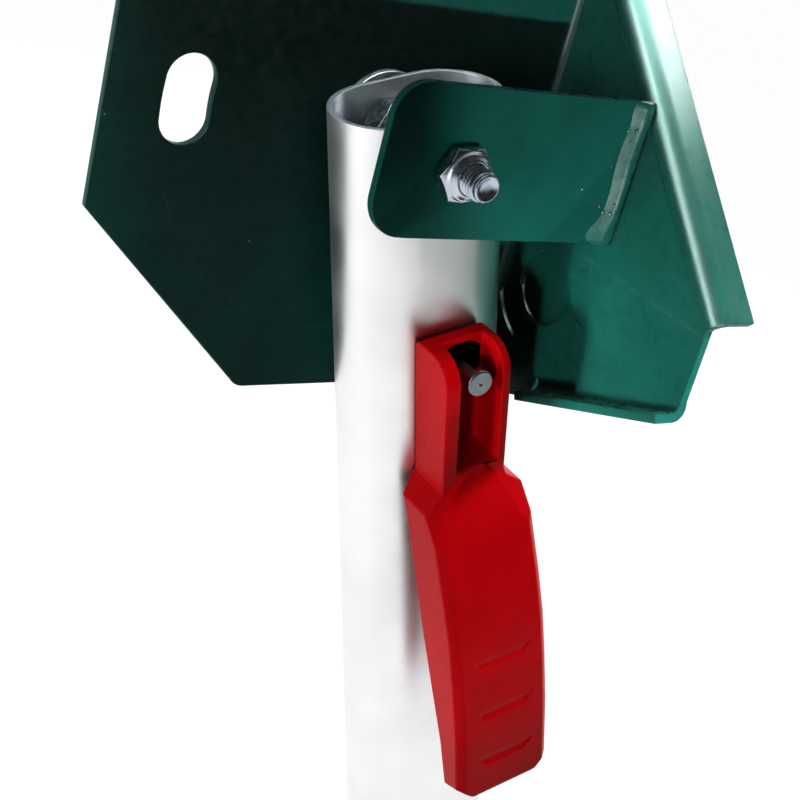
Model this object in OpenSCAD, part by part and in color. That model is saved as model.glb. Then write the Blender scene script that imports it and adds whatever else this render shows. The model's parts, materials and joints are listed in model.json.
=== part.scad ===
// Folding leg pivot of a table tennis table: a folded bracket, a flat oval leg on
// a pivot bolt, and a sprung plunger that a rocking lever pulls out.
// Millimetres, +Z up. The origin is the centre of the four frame bolts on the
// bracket's back face, and the lug and lever face -Y. Shapes are drawn round the
// pivot and moved to the origin by from_pivot(); the leg's own pieces are drawn
// round an upright leg and tilted by on_leg().

/* [Bracket] */
// Thickness of the sheet
sheet = 2.5; // [2:0.1:3]
// Plate edge left of the pivot
plate_left = 74; // [70:1:90]
// Plate edge above the pivot
plate_top = 76; // [72:1:90]
// Plate edge below the pivot
plate_bottom = 76.8; // [76:0.1:80]
// Inner face of the side wall, right of the pivot
wall_x = 54.2; // [53.5:0.1:60]
// Reach of the side wall in front of the pivot's middle
wall_reach = 60; // [54:1:70]
// Slope of the wall's lower edge, in degrees
lip_slope = 22.2; // [18:0.1:24]
// Width of the folded lip at the wall's lower edge
lip_reach = 8.4; // [7:0.1:9]
// Slope of the wall's upper edge, in degrees
flange_slope = 43.8; // [43:0.1:45]
// Width of the flange folded outwards at the wall's upper edge
flange_reach = 12; // [9:0.1:14]

/* [Pivot] */
// Thread of the pivot bolt
bolt_d = 8; // [8:0.5:8]
// Front face of the lug, in front of the leg's middle
lug_front = 19.7; // [19.6:0.1:20.5]
// Lug edge left of the pivot
lug_left = 22.4; // [20:0.1:24]
// Lug edge above the pivot
lug_top = 20.5; // [18:0.1:21]
// Lug edge below the pivot
lug_bottom = 17.4; // [16:0.1:18]

/* [Leg] */
// Width of the flat oval tube
tube_w = 45.1; // [44:0.1:46]
// Depth of the flat oval tube
tube_d = 30.6; // [30:0.1:31]
// Tube wall
tube_wall = 1.5; // [1.2:0.1:2]
// Tube above the pivot
tube_above = 11.2; // [10:0.1:12]
// Tube below the pivot
tube_below = 285; // [260:1:400]
// Lean of the leg at rest, in degrees
leg_tilt = 16.45; // [12:0.05:17]

/* [Latch] */
// Distance from the pivot to the plunger
latch_radius = 53.2; // [52.8:0.1:53.5]
// Diameter of the plunger
plunger_d = 12.4; // [12:0.1:12.4]
// Hole for the plunger in the bracket
latch_hole_d = 12.7; // [12.7:0.1:13]
// Half of the play in the kidney slot, in degrees
slot_play = 5.06; // [3:0.01:6]

/* [Lever] */
// Half width of the lever's neck
neck_half = 9.6; // [9:0.1:10]
// Half width of the lever's channel
channel_half = 6.2; // [6:0.1:6.4]
// Half width of the handle
handle_half = 15.2; // [14:0.1:16]

/* [Hidden] */
$fn = 64;

eps = 0.01;
clear = 0.1;                      // axial gap between faces that turn on each other
running = 0.05;                   // radial gap of a running fit
powder_green = [0.02, 0.16, 0.12];
zinc = [0.62, 0.64, 0.66];

// Depths, along Y from the middle of the leg
tube_half = tube_d / 2;
tube_in = tube_half - tube_wall;
plate_front = 18.8;
plate_back = plate_front + sheet;
lug_back = -lug_front + sheet;
weld_gap = 4.5;                   // from the lug's end to the wall
lug_end = wall_x - weld_gap;
lug_corners = [8.5, 10];          // upper and lower radius

// Frame bolts, in the upper part of the plate
frame_bolt_d = 8.4;
frame_bolt_x = 96;
frame_bolt_z = 22;
mount_x = -10;
mount_z = 54;

weld_front_size = [6.2, 1.3];     // width and crown of each bead
weld_rear_size = [5.4, 1.1];

// Plate outline
chamfer_angle = 45.9;
chamfer_dist = 71.4;              // from the pivot to the cut lower left corner
plate_corner = 5;                 // radius at the lower end of the cut corner
bend_in = 2;                      // inner radius of the fold between plate and wall
slot_angle = 180;                 // kidney slot, straight left of the pivot
slot_ease = 0.06;                 // round ends and corners are this much wider

// Wall and lip
lip_bend = 2.5;
crease_y = 1.4;                   // a point on the inner crease between wall and lip
crease_z = -67.4;
notch_y = -7.5;                   // relief cut between the lip and the flat tab
notch_w = 1.6;
fold_y = -15;                     // a point on the inner crease between wall and flange
fold_z = 20.4;
flange_rear = 9;                  // upper end of the flange
pad_y = -0.2;                     // pressed pad in the wall
pad_z = -38.9;
pad_d = 20.6;
pad_deep = 1.8;
ear_r = 19;                       // two ears pressed beside the pad
ear_deep = 1;
ear_fan = 25;
ear_turns = [254, 45];

// Fastener sizes, M8
nut_af = 13;
inner_nut_h = 6.5;
lock_nut_h = 3.4;                 // its six flats
collar_h = 1.2;                   // round collar in front of them
collar_side = [6.3, 5.65];        // its radius at the flats and at its front
crown_h = 1.1;                    // rolled edge that holds the locking ring
crown_r = 4.6;
ring_out = 4.9;                   // locking ring
ring_set = 0.5;                   // its front face behind the rolled edge
hex_turn = 12;
hex_ease = 0.1;                   // the nut's faces are this much inside its flats
bolt_front = 31.3;
bolt_tip_cut = 0.6;
bolt_dimple = [2.6, 1.4, 0.8];    // radius at the mouth and the floor, and depth
head_h = 5.3;
head_washer_r = 8;
head_washer_h = 1.6;

// Bushes and discs on the pivot
bush_r = 5;
bush_bore = bolt_d / 2 + running;
plate_bush_flange_r = 9;
thrust_disc_r = 12.6;
thrust_disc_h = 2.2;
lug_bush_flange_r = 9;

// Latch parts, in the leg's frame
guide_r = 7;
guide_flange_r = 7.3;
guide_flange_h = 1.5;
guide_tail = 1.4;
tip_gap = 0.3;                    // from the drawn plunger to the plate
collar_r = 7.9;
collar_front = 4.6;
collar_back = 7.9;
boss_r = 3.9;
boss_front = 0.6;
pin_r = 1.9;
pin_head_r = 3.55;
pin_head_h = 1.2;
pin_front = 31.2;
pin_tail = 14;
cross_pin_r = 1;
cross_pin_y = 2.6;
pin_guide_r = 3.2;
pin_guide_flange_r = 6.4;
pin_guide_flange_h = 1.4;
spring_wire = 1.2;
spring_mean_r = 5;
spring_turns = 7;

// Lever, y in front of the leg's middle and z below the pivot
lever_back = tube_half + 0.15;
lever_top = 45.3;
heel_r = 2;
nose_r = 7.5;
nose_front = 30.7;
neck_front = 29.2;                // front of the neck where the handle starts
shoulder_top = 85;
shoulder_drop = 4.6;

// Channel in the neck: the bar behind the pin's head, and the ledge below it
channel_mid = 0.9;                // its middle, right of the pin
channel_top = lever_top - 1;
bar_front = 20.8;
bar_end = 56.5;
web_front = 19.4;                 // front of the web below the bar
web_back = 17.4;
web_top = 61;
ledge_z = 80;
ledge_rise = 1.5;
port_top = 47.4;                  // pocket round the pin
port_low = 53.8;
port_half = 5.8;
port_corner = 4.5;
port_floor = 16.8;                // its floor above the bridge that the pin carries
bridge_top = 49.4;
pin_slot = pin_r + 0.25;          // half width of the slot that the lever hangs by
pin_slot_end = 60;
heel_hollow = 49;

// Handle
handle_low = 178.4;               // lower edge of the front
neck_lap = 15;                    // overlap of the neck and the handle
lever_reach = 60;
handle_wall = 2.4;
hollow_top = 94;
hollow_low = 173;
rib_t = 1.8;
rib_z = [108, 126, 144, 160];
edge_cut = [2.2, 1.9];            // chamfer along the front edges: across and deep
shoulder_at = [12.4, -33.3, -92.3];       // a point on each flat cut, its lean and turn
shoulder_facing = [56.7, 61.8];
corner_at = [12.45, -49.7, -176.95];
corner_facing = [132.6, 23.3];
cut_block = [50, 40, 12];
grip_z = [134.5, 151.4, 167.95];  // middle of the step of each thumb grip
grip_half = 6.35;
grip_tall = 3.6;
grip_deep = 0.8;

// ---------------------------------------------------------------- helpers

module from_pivot()
    translate([-mount_x, -plate_back, -mount_z])
        children();

module on_leg()
    from_pivot()
        rotate([0, -leg_tilt, 0])
            children();

// Extrude a shape drawn in X and Z from depth y0 to y1
module slab_y(y0, y1)
    translate([0, y1, 0])
        rotate([90, 0, 0])
            linear_extrude(y1 - y0)
                children();

// Extrude a shape drawn in Y and Z from x0 to x1
module slab_x(x0, x1)
    translate([x0, 0, 0])
        rotate([90, 0, 90])
            linear_extrude(x1 - x0)
                children();

// Round bar or hole along Y
module bar_y(y0, y1, r, at = [0, 0], r1 = undef)
    translate([at[0], y0, at[1]])
        rotate([-90, 0, 0])
            cylinder(h = y1 - y0, r1 = r, r2 = is_undef(r1) ? r : r1);

module ring_y(y0, y1, r, bore)
    difference() {
        bar_y(y0, y1, r);
        bar_y(y0 - 1, y1 + 1, bore);
    }

// Flat oval with its long side along X
module oval(w, d) {
    square([w - d, d], center = true);
    for (s = [-1, 1])
        translate([s * (w - d) / 2, 0])
            circle(d = d);
}

// Hexagon bar along Y with turned corners
module hex_y(y0, y1, af, cut = 0.8) {
    corner = af / 2 / cos(30);
    face = af / 2 - hex_ease;
    intersection() {
        translate([0, y0, 0])
            rotate([-90, 0, 0])
                rotate(hex_turn)
                    cylinder(h = y1 - y0, r = corner, $fn = 6);
        union() {
            bar_y(y0, y0 + cut, face, r1 = corner + eps);
            bar_y(y0 + cut, y1 - cut, corner + eps);
            bar_y(y1 - cut, y1, corner + eps, r1 = face);
        }
    }
}

// ---------------------------------------------------------------- bracket

module plate_outline() {
    cut = [cos(chamfer_angle), sin(chamfer_angle)];
    low_x = (chamfer_dist - plate_bottom * cut[1]) / cut[0];
    left_z = (chamfer_dist - plate_left * cut[0]) / cut[1];
    ease = plate_corner * tan(45 - chamfer_angle / 2);
    middle = [-low_x + ease, -plate_bottom + plate_corner];
    polygon([
        [wall_x - bend_in, -plate_bottom],
        [wall_x - bend_in, plate_top],
        [-plate_left, plate_top],
        [-plate_left, -left_z],
        [-low_x - ease * cut[1], -plate_bottom + ease * cut[0]],
        middle,
        [middle[0], -plate_bottom]
    ]);
    translate(middle)
        circle(r = plate_corner + slot_ease / 2);
}

module kidney_slot() {
    r_in = latch_radius - latch_hole_d / 2;
    far = latch_radius * 2;
    intersection() {
        difference() {
            circle(r = r_in + latch_hole_d);
            circle(r = r_in);
        }
        polygon([
            [0, 0],
            [-far, far * tan(slot_play)],
            [-far, -far * tan(slot_play)]
        ]);
    }
    for (s = [-1, 1])
        rotate(slot_angle + s * slot_play)
            translate([latch_radius, 0])
                circle(d = latch_hole_d + slot_ease);
}

module plate_sheet()
    difference() {
        slab_y(plate_front, plate_back)
            plate_outline();
        slab_y(plate_front - 1, plate_back + 1)
            kidney_slot();
        bar_y(plate_front - 1, plate_back + 1, bush_r);
        bar_y(plate_front - 1, plate_back + 1, latch_hole_d / 2,
              at = latch_radius * [sin(leg_tilt), -cos(leg_tilt)]);
        for (sx = [-1, 1], sz = [-1, 1])
            bar_y(plate_front - 1, plate_back + 1, frame_bolt_d / 2,
                  at = [mount_x + sx * frame_bolt_x / 2, mount_z + sz * frame_bolt_z / 2]);
    }

// Fold between the plate and the wall
module plate_bend()
    translate([wall_x - bend_in, plate_front - bend_in, -plate_bottom])
        linear_extrude(plate_top + plate_bottom)
            intersection() {
                difference() {
                    circle(r = bend_in + sheet);
                    circle(r = bend_in);
                }
                square(bend_in + sheet + 1);
            }

// Lower edge of the wall at depth y: the lip's lower face, and the tab's edge
function lip_low(y) =
    crease_z - (sheet + lip_bend) / cos(lip_slope) - (y - crease_y) * tan(lip_slope);

// Inner crease, where the lip starts to bend
function crease(y) = crease_z - (y - crease_y) * tan(lip_slope);

// Crease where the flange starts to bend
function fold(y) = fold_z + (y - fold_y) * tan(flange_slope);

module wall_outline() {
    rear = plate_front - bend_in;
    tab_rear = crease_y - (lip_low(crease_y) + plate_bottom) / -tan(lip_slope);
    polygon([
        [rear, plate_top],
        [rear, -plate_bottom],
        [tab_rear, -plate_bottom],
        [notch_y, lip_low(notch_y)],
        [notch_y, crease(notch_y) + 1],
        [notch_y - notch_w, crease(notch_y) + 1],
        [notch_y - notch_w, crease(notch_y - notch_w)],
        [-wall_reach, crease(-wall_reach)],
        [-wall_reach, fold(-wall_reach)],
        [flange_rear, fold(flange_rear)],
        [flange_rear, fold(flange_rear) - 1],
        [flange_rear + notch_w, fold(flange_rear) - 1],
        [flange_rear + notch_w, plate_top]
    ]);
}

module side_wall()
    difference() {
        union() {
            slab_x(wall_x, wall_x + sheet)
                wall_outline();
            pressed_pad(sheet - 1, 0.15);
        }
        pressed_pad(-1, 0);
    }

// Round pad half sheared out of the wall, with two shallower ears. start is the
// depth where the cut or boss begins, and slack shrinks the boss on the far side
module pressed_pad(start, slack)
    translate([wall_x, pad_y, pad_z])
        rotate([0, 90, 0]) {
            translate([0, 0, start])
                cylinder(h = pad_deep + 1, d = pad_d - 2 * slack);
            for (turn = ear_turns)
                translate([0, 0, start])
                    linear_extrude(ear_deep + 1)
                        rotate(turn)
                            ear_outline(slack);
        }

module ear_outline(slack)
    intersection() {
        circle(r = ear_r - slack);
        polygon([
            [0, 0],
            [2 * ear_r, 2 * ear_r * tan(ear_fan)],
            [2 * ear_r, -2 * ear_r * tan(ear_fan)]
        ]);
    }

// Lip folded inwards along the wall's sloping lower edge
module lip() {
    run = (notch_y - notch_w + wall_reach) / cos(lip_slope);
    translate([0, -wall_reach, crease(-wall_reach)])
        rotate([-lip_slope, 0, 0])
            rotate([-90, 0, 0])
                linear_extrude(run)
                    lip_section();
}

// Section across the lip, x to the right and y down from the crease
module lip_section() {
    r_out = lip_bend + sheet;
    translate([wall_x, -1])
        square([sheet, 1]);
    translate([wall_x - lip_bend, 0]) {
        intersection() {
            difference() {
                circle(r = r_out);
                circle(r = lip_bend);
            }
            square(r_out + 1);
        }
        translate([-(lip_reach - lip_bend), lip_bend])
            square([lip_reach - lip_bend, sheet]);
    }
}

// Flange folded outwards along the wall's sloping upper edge
module flange() {
    run = (flange_rear + wall_reach) / cos(flange_slope);
    translate([0, -wall_reach, fold(-wall_reach)])
        rotate([flange_slope, 0, 0])
            rotate([-90, 0, 0])
                linear_extrude(run)
                    flange_section();
}

// Section across the flange, x to the right and y down from the crease
module flange_section() {
    r_out = lip_bend + sheet;
    translate([wall_x, 0])
        square([sheet, 1]);
    translate([wall_x + r_out, 0]) {
        intersection() {
            difference() {
                circle(r = r_out);
                circle(r = lip_bend);
            }
            translate([-r_out - 1, -r_out - 1])
                square(r_out + 1);
        }
        translate([0, -r_out])
            square([flange_reach - r_out, sheet]);
    }
}

module bracket_plate()
    color(powder_green)
        from_pivot() {
            plate_sheet();
            plate_bend();
            side_wall();
            lip();
            flange();
        }

module lug_outline() {
    top_r = lug_corners[0];
    low_r = lug_corners[1];
    translate([-lug_left + low_r, -lug_bottom])
        square([lug_left - low_r + lug_end, lug_bottom + lug_top - top_r]);
    translate([-lug_left + top_r, 0])
        square([lug_left - top_r + lug_end, lug_top]);
    translate([-lug_left, -lug_bottom + low_r])
        square([low_r, lug_bottom + lug_top - low_r - top_r]);
    translate([-lug_left + top_r, lug_top - top_r])
        circle(r = top_r);
    translate([-lug_left + low_r, -lug_bottom + low_r])
        circle(r = low_r);
}

module pivot_lug()
    color(powder_green)
        from_pivot()
            difference() {
                slab_y(-lug_front, lug_back)
                    lug_outline();
                bar_y(-lug_front - 1, lug_back + 1, bush_r);
            }

// Weld metal in the gap between the lug's end and the wall, on one side of the lug
module weld_bead(side, size, z0, z1) {
    chord = size[0];
    crown = size[1];
    cap_r = (chord * chord / 4 + crown * crown) / (2 * crown);
    face_y = side < 0 ? -lug_front : lug_back;
    translate([wall_x, face_y, z0])
        linear_extrude(z1 - z0) {
            translate([-weld_gap, side < 0 ? 0 : -sheet / 2])
                square([weld_gap, sheet / 2]);
            intersection() {
                translate([-chord / 2, side * (crown - cap_r)])
                    circle(r = cap_r);
                translate([-chord, side < 0 ? -crown : 0])
                    square([chord, crown]);
            }
        }
}

module lug_weld_front()
    color(powder_green)
        from_pivot()
            weld_bead(-1, weld_front_size, -lug_bottom, lug_top);

module lug_weld_rear()
    color(powder_green)
        from_pivot()
            weld_bead(1, weld_rear_size, -lug_bottom + 1, lug_top - 1);

// ---------------------------------------------------------------- pivot

module plate_bush()
    color("ivory")
        from_pivot() {
            ring_y(plate_front, plate_back, bush_r, bush_bore);
            ring_y(tube_half + thrust_disc_h + clear / 2, plate_front,
                   plate_bush_flange_r, bush_bore);
        }

module lug_bush()
    color("ivory")
        from_pivot() {
            ring_y(-lug_front, lug_back, bush_r, bush_bore);
            ring_y(lug_back, -tube_half - clear, lug_bush_flange_r, bush_bore);
        }

module thrust_disc()
    color(zinc)
        on_leg()
            ring_y(tube_half, tube_half + thrust_disc_h, thrust_disc_r, bolt_d / 2);

module head_washer()
    color(zinc)
        on_leg()
            ring_y(plate_back + clear, plate_back + clear + head_washer_h,
                   head_washer_r, bolt_d / 2);

module pivot_bolt() {
    head_front = plate_back + clear + head_washer_h;
    tip_r = bolt_d / 2 - bolt_tip_cut;
    color(zinc)
        on_leg()
            difference() {
                union() {
                    bar_y(-bolt_front, -bolt_front + bolt_tip_cut, tip_r, r1 = bolt_d / 2);
                    bar_y(-bolt_front + bolt_tip_cut, head_front + eps, bolt_d / 2);
                    hex_y(head_front, head_front + head_h, nut_af);
                }
                bar_y(-bolt_front - eps, -bolt_front + bolt_dimple[2],
                      bolt_dimple[0], r1 = bolt_dimple[1]);
            }
}

module nut_y(y0, y1)
    difference() {
        hex_y(y0, y1, nut_af);
        bar_y(y0 - 1, y1 + 1, bolt_d / 2);
    }

module inner_nut()
    color(zinc)
        on_leg()
            nut_y(tube_in - inner_nut_h, tube_in);

// Lock nut: six flats at the back, and a round collar rolled over the locking ring
module lock_nut() {
    back = -lug_front - clear;
    flats = back - lock_nut_h;
    front = flats - collar_h - crown_h;
    color(zinc)
        on_leg()
            difference() {
                union() {
                    hex_y(flats, back, nut_af);
                    bar_y(flats - collar_h, flats + eps, collar_side[1], r1 = collar_side[0]);
                    bar_y(front, flats - collar_h + eps, crown_r, r1 = collar_side[1]);
                }
                bar_y(front - 1, back + 1, bolt_d / 2);
                bar_y(front - 1, front + ring_set, crown_r - ring_set);
                bar_y(front + ring_set, flats, ring_out);
            }
}

// Locking ring inside the nut's collar
module lock_nut_ring()
    color("ivory")
        on_leg() {
            flats = -lug_front - clear - lock_nut_h;
            ring_y(flats - collar_h - crown_h + ring_set, flats, ring_out, bolt_d / 2);
        }

// ---------------------------------------------------------------- leg

module leg_tube()
    color("gainsboro")
        on_leg()
            difference() {
                translate([0, 0, -tube_below])
                    linear_extrude(tube_below + tube_above)
                        difference() {
                            oval(tube_w, tube_d);
                            oval(tube_w - 2 * tube_wall, tube_d - 2 * tube_wall);
                        }
                bar_y(-tube_half - 1, tube_half + 1, bolt_d / 2);
                bar_y(0, tube_half + 1, guide_r, at = [0, -latch_radius]);
                bar_y(-tube_half - 1, 0, pin_guide_r, at = [0, -latch_radius]);
            }

// ---------------------------------------------------------------- latch

module at_latch()
    on_leg()
        translate([0, 0, -latch_radius])
            children();

module plunger_guide()
    color("ivory")
        at_latch() {
            ring_y(tube_in - guide_flange_h, tube_in, guide_flange_r, plunger_d / 2 + running);
            ring_y(tube_in, tube_half + guide_tail, guide_r, plunger_d / 2 + running);
        }

module pin_guide()
    color("ivory")
        at_latch() {
            ring_y(-tube_in, -tube_in + pin_guide_flange_h, pin_guide_flange_r, pin_r + running);
            ring_y(-tube_half, -tube_in, pin_guide_r, pin_r + running);
        }

module plunger() {
    tip = plate_front - tip_gap;
    tip_cut = 1;
    color(zinc)
        at_latch()
            difference() {
                union() {
                    bar_y(collar_back, tip - tip_cut, plunger_d / 2);
                    bar_y(tip - tip_cut, tip, plunger_d / 2, r1 = plunger_d / 2 - tip_cut);
                    bar_y(collar_front, collar_back, collar_r);
                    bar_y(boss_front, collar_front, boss_r);
                }
                bar_y(boss_front - 1, pin_tail, pin_r);
                cross_bar();
            }
}

module cross_bar()
    translate([-boss_r, cross_pin_y, 0])
        rotate([0, 90, 0])
            cylinder(h = 2 * boss_r, r = cross_pin_r);

module cross_pin()
    color(zinc)
        at_latch()
            cross_bar();

module pull_pin() {
    head_cut = 0.3;
    mark_r = 0.6;
    color(zinc)
        at_latch()
            difference() {
                union() {
                    bar_y(-pin_front, -pin_front + head_cut, pin_head_r - head_cut,
                          r1 = pin_head_r);
                    bar_y(-pin_front + head_cut, -pin_front + pin_head_h, pin_head_r);
                    bar_y(-pin_front + pin_head_h - eps, pin_tail, pin_r);
                }
                bar_y(-pin_front - eps, -pin_front + head_cut, mark_r, r1 = mark_r / 2);
                cross_bar();
            }
}

// Coil spring: one ring of the wire's section at each step along the coil
module return_spring() {
    y0 = -tube_in + pin_guide_flange_h + spring_wire / 2;
    y1 = collar_front - spring_wire / 2;
    steps = spring_turns * 16;
    sides = 6;
    points = [
        for (i = [0 : steps], j = [0 : sides - 1])
            let (turn = i / steps * spring_turns * 360,
                 a = j * 360 / sides,
                 r = spring_mean_r + spring_wire / 2 * cos(a))
            [r * cos(turn),
             y0 + (y1 - y0) * i / steps + spring_wire / 2 * sin(a),
             r * sin(turn)]
    ];
    faces = concat(
        [[for (j = [0 : sides - 1]) j]],
        [for (i = [0 : steps - 1], j = [0 : sides - 1])
            let (a = i * sides + j, b = i * sides + (j + 1) % sides)
            [a, a + sides, b + sides, b]],
        [[for (j = [0 : sides - 1]) (steps + 1) * sides - 1 - j]]
    );
    color(zinc)
        at_latch()
            polyhedron(points = points, faces = faces, convexity = 10);
}

// ---------------------------------------------------------------- lever

// Side view of the neck, with a rounded heel on the tube and a round nose
module neck_profile() {
    heel = [-lever_back - heel_r, -lever_top - heel_r];
    nose = [-nose_front + nose_r, -lever_top - nose_r];
    polygon([
        [-lever_back, heel[1]],
        [-lever_back, -shoulder_top - shoulder_drop],
        [-neck_front, -shoulder_top - shoulder_drop],
        [-nose_front, nose[1]],
        nose,
        [nose[0], -lever_top],
        [heel[0], -lever_top],
        heel
    ]);
    translate(heel)
        circle(r = heel_r);
    translate(nose)
        circle(r = nose_r);
}

module neck_channel() {
    far = nose_front + 2;
    slab_x(channel_mid - channel_half, channel_mid + channel_half)
        polygon([
            [-bar_front, -channel_top],
            [-bar_front, -bar_end],
            [-web_front, -web_top],
            [-web_front, -ledge_z + ledge_rise],
            [-far, -ledge_z],
            [-far, -channel_top]
        ]);
    // pocket round the pin, deeper at its top
    slab_y(-bar_front - 1, -web_front)
        port_outline();
    slab_y(-bar_front - 1, -port_floor)
        intersection() {
            port_outline();
            translate([-far, -bridge_top])
                square([2 * far, bridge_top]);
        }
    // slot for the pin
    slab_y(-bar_front - 1, 0) {
        translate([0, -latch_radius])
            circle(r = pin_slot);
        translate([-pin_slot, -pin_slot_end])
            square([2 * pin_slot, pin_slot_end - latch_radius]);
    }
    // hollow behind the web
    slab_x(channel_mid - channel_half, channel_mid + channel_half)
        polygon([
            [0, -heel_hollow],
            [-web_back, -heel_hollow],
            [-web_back, -ledge_z],
            [0, -ledge_z]
        ]);
}

module port_outline() {
    inner = port_half - port_corner;
    translate([channel_mid, 0]) {
        translate([-port_half, -port_low])
            square([2 * port_half, port_low - port_top - port_corner]);
        translate([-inner, -port_low])
            square([2 * inner, port_low - port_top]);
        for (s = [-1, 1])
            translate([s * inner, -port_top - port_corner])
                circle(r = port_corner + slot_ease / 2);
    }
}

// Side view of the handle, front and back, as [y, z]
function handle_front() = [
    [-29.3, -80], [-31.2, -86], [-36.3, -95.2], [-41.6, -113],
    [-44.5, -125], [-46.5, -138.2], [-48.5, -155.6], [-49.7, -handle_low]
];
function handle_back() = [
    [-48.8, -handle_low - 1.4], [-42.6, -handle_low - 4], [-41.3, -177.5],
    [-38.7, -163.3], [-34.1, -147.6],
    [-28.5, -127.8], [-23.1, -105.3], [-19.3, -90.8], [-lever_back, -86], [-lever_back, -80]
];

// Both sides of an outline that is given for the right side
module mirrored(side)
    polygon(concat(side, [for (i = [len(side) - 1 : -1 : 0]) [-side[i][0], side[i][1]]]));

// Front view of the handle, with sloping shoulders
module handle_outline()
    mirrored([
        [neck_half, -shoulder_top + neck_lap],
        [neck_half, -shoulder_top],
        [handle_half, -shoulder_top - shoulder_drop],
        [handle_half, -handle_low - 2 * shoulder_drop]
    ]);

// Chamfers along both front edges, one cut for each flat of the front
module edge_chamfers() {
    front = handle_front();
    angle = atan2(edge_cut[1], edge_cut[0]);
    block = 10;
    lap = 6;
    for (i = [1 : len(front) - 2]) {
        run = front[i + 1] - front[i];
        for (side = [0, 1])
            mirror([side, 0, 0])
                translate([handle_half - edge_cut[0], front[i][0], front[i][1]])
                    rotate([-atan2(-run[0], -run[1]), 0, 0])
                        rotate(angle)
                            translate([-block / 2, -block, -norm(run) - lap])
                                cube([1.5 * block, block, norm(run) + lap + 0.5]);
    }
}

// The same flat cut off both sides, through a point on the right side
module flat_cuts(at, facing)
    for (side = [0, 1])
        mirror([side, 0, 0])
            translate(at)
                rotate([0, facing[0], -facing[1]])
                    translate([-cut_block[0] / 2, -cut_block[1] / 2, 0])
                        cube(cut_block);

// Front face's depth at height z
function front_at(z) = lookup(z, [for (q = handle_front()) [q[1], q[0]]]);

// Three thumb grips: each a step that fades out upwards, wider at its top
module thumb_grips() {
    half = grip_deep / 2;
    for (z = grip_z)
        intersection() {
            slab_x(-2 * grip_half, 2 * grip_half)
                polygon([
                    [front_at(-z - half) - eps, -z - half],
                    [front_at(-z + half) + grip_deep, -z + half],
                    [front_at(-z + grip_tall) - eps, -z + grip_tall],
                    [front_at(-z) - 3, -z + grip_tall],
                    [front_at(-z) - 3, -z - half]
                ]);
            slab_y(-lever_reach, 0)
                mirrored([
                    [grip_half + grip_tall, -z + grip_tall],
                    [grip_half, -z - half]
                ]);
        }
}

// Ribbed hollow in the back of the handle
module handle_hollow()
    difference() {
        intersection() {
            slab_x(-handle_half + handle_wall, handle_half - handle_wall)
                polygon(concat(
                    [for (p = handle_front()) if (p[1] < -hollow_top) p + [handle_wall, 0]],
                    [[0, -handle_low], [0, -hollow_top]]
                ));
            across_handle(hollow_low, hollow_low - hollow_top + neck_lap);
        }
        for (z = rib_z)
            across_handle(z, rib_t);
    }

// Block across the whole handle, from depth z below the pivot up by its height
module across_handle(z, tall)
    slab_y(-lever_reach, 0)
        translate([-handle_half - 1, -z])
            square([2 * handle_half + 2, tall]);

module release_lever()
    color([0.62, 0.02, 0.03])
        on_leg()
            difference() {
                union() {
                    slab_x(-neck_half, neck_half)
                        neck_profile();
                    difference() {
                        intersection() {
                            slab_x(-handle_half, handle_half)
                                polygon(concat(handle_front(), handle_back()));
                            slab_y(-lever_reach, 0)
                                handle_outline();
                        }
                        flat_cuts(shoulder_at, shoulder_facing);
                        flat_cuts(corner_at, corner_facing);
                        edge_chamfers();
                    }
                }
                neck_channel();
                thumb_grips();
                handle_hollow();
            }

bracket_plate();
pivot_lug();
lug_weld_front();
lug_weld_rear();
plate_bush();
lug_bush();
leg_tube();
pivot_bolt();
head_washer();
thrust_disc();
inner_nut();
lock_nut();
lock_nut_ring();
plunger_guide();
pin_guide();
return_spring();
plunger();
pull_pin();
cross_pin();
release_lever();
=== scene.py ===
import json
import math

import bmesh
import bpy
from mathutils import Matrix, Vector

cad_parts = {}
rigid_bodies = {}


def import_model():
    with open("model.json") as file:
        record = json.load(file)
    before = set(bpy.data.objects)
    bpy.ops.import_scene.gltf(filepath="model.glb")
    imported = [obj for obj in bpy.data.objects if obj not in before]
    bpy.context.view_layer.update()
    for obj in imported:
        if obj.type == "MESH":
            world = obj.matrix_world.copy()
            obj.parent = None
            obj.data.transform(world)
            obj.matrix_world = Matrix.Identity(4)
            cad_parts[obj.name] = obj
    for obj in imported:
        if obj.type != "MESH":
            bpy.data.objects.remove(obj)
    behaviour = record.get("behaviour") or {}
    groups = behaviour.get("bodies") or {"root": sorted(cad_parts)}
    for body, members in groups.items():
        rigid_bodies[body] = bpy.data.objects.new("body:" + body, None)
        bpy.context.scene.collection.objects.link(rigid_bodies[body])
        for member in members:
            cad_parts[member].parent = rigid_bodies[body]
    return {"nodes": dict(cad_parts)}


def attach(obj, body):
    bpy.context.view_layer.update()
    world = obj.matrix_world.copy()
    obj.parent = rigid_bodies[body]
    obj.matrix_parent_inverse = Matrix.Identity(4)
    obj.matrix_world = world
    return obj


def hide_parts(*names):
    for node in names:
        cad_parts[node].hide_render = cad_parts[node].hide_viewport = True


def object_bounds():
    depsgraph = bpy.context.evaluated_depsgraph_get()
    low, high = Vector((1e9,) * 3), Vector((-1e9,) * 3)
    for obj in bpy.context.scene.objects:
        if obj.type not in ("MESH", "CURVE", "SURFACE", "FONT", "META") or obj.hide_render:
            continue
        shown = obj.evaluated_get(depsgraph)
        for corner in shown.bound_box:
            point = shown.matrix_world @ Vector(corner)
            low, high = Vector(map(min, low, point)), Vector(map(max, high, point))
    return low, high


mm = 0.001
near = 1e-6  # m, points about this close are taken as one

for thing in list(bpy.data.objects):
    bpy.data.objects.remove(thing)

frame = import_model()
cadBox = [list(corner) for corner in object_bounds()]
print("frame loaded, box", cadBox)

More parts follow.
